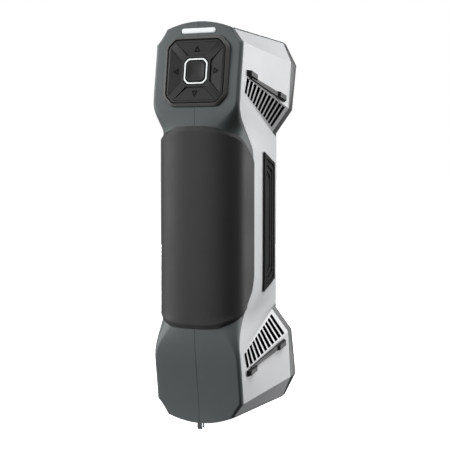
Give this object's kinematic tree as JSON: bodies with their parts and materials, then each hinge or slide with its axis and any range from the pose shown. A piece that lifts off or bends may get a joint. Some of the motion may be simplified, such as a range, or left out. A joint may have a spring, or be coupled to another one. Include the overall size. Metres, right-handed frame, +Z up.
{
  "type": "handheld laser scanner",
  "caption": "Handheld 3D laser scanner with a camera head at each end of a padded handle, vented side covers and a back keypad.",
  "frame": {"origin": "middle of the whole scanner, lanyard lug included", "axes": "+Z up the body from the lower head to the upper head, -Y out of the padded back, +Y out of the optics, +X to the right as seen from the back"},
  "size_m": [0.0772, 0.1047, 0.3028],
  "materials": {
    "shell": "fine moulded grain, dark grey green",
    "grip": "soft matt elastomer",
    "cover": "satin silver lacquer on moulded plastic",
    "trim": "dark grey moulded plastic",
    "black": "black moulded plastic",
    "key": "matt silicone rubber",
    "light": "translucent white light guide",
    "glass": "dark coated optical glass",
    "alloy": "machined aluminium",
    "board": "green solder mask on glass laminate",
    "steel": "plain steel"
  },
  "bodies": {
    "housing": {"back_shell_right": "shell", "back_shell_left": "shell", "grip_pad": "grip", "side_cover_right": "cover", "side_cover_left": "cover", "vent_guard_upper_right": "black", "vent_guard_upper_left": "black", "vent_guard_lower_right": "black", "vent_guard_lower_left": "black", "side_insert_right": "black", "side_insert_left": "black", "front_window_upper": "black", "lens_barrel_upper": "black", "fan_frame_upper": "black", "front_bezel_upper": "trim", "camera_block_upper": "alloy", "heat_sink_upper": "alloy", "laser_module_upper": "alloy", "ring_light_board_upper": "board", "lens_glass_upper": "glass", "laser_window_upper": "glass", "ring_light_lens_upper": "light", "front_window_lower": "black", "lens_barrel_lower": "black", "fan_frame_lower": "black", "front_bezel_lower": "trim", "camera_block_lower": "alloy", "heat_sink_lower": "alloy", "laser_module_lower": "alloy", "ring_light_board_lower": "board", "lens_glass_lower": "glass", "laser_window_lower": "glass", "ring_light_lens_lower": "light", "handle_front_cover": "trim", "keypad_bezel": "trim", "cover_screw_1": "steel", "cover_screw_2": "steel", "cover_screw_3": "steel", "cover_screw_4": "steel", "lanyard_lug": "steel", "optical_frame": "alloy", "main_board": "board", "key_board": "board", "keypad_frame": "black", "switch_up": "black", "switch_left": "black", "switch_down": "black", "switch_right": "black", "switch_centre": "black", "cable_inlet": "black", "button_light_ring": "light", "status_light": "light"},
    "key_up": {"key_up": "key"},
    "key_left": {"key_left": "key"},
    "key_down": {"key_down": "key"},
    "key_right": {"key_right": "key"},
    "centre_button": {"centre_button": "key"},
    "fan_upper": {"fan_rotor_upper": "black"},
    "fan_lower": {"fan_rotor_lower": "black"}
  },
  "joints": [
    {"name": "key_up_press", "type": "slide", "parent": "housing", "child": "key_up", "axis": [0, 0.9905, -0.1374], "range_m": [0, 0.0005], "stiffness_N_per_m": 900, "springref_m": -0.0004},
    {"name": "key_left_press", "type": "slide", "parent": "housing", "child": "key_left", "axis": [0, 0.9905, -0.1374], "range_m": [0, 0.0005], "stiffness_N_per_m": 900, "springref_m": -0.0004},
    {"name": "key_down_press", "type": "slide", "parent": "housing", "child": "key_down", "axis": [0, 0.9905, -0.1374], "range_m": [0, 0.0005], "stiffness_N_per_m": 900, "springref_m": -0.0004},
    {"name": "key_right_press", "type": "slide", "parent": "housing", "child": "key_right", "axis": [0, 0.9905, -0.1374], "range_m": [0, 0.0005], "stiffness_N_per_m": 900, "springref_m": -0.0004},
    {"name": "centre_button_press", "type": "slide", "parent": "housing", "child": "centre_button", "axis": [0, 0.9905, -0.1374], "range_m": [0, 0.0006], "stiffness_N_per_m": 900, "springref_m": -0.0004},
    {"name": "fan_upper_spin", "type": "hinge", "parent": "housing", "child": "fan_upper", "pos_m": [0, -0.012, 0.1044], "axis": [1, 0, 0], "continuous": true},
    {"name": "fan_lower_spin", "type": "hinge", "parent": "housing", "child": "fan_lower", "pos_m": [0, -0.012, -0.0996], "axis": [1, 0, 0], "continuous": true}
  ]
}
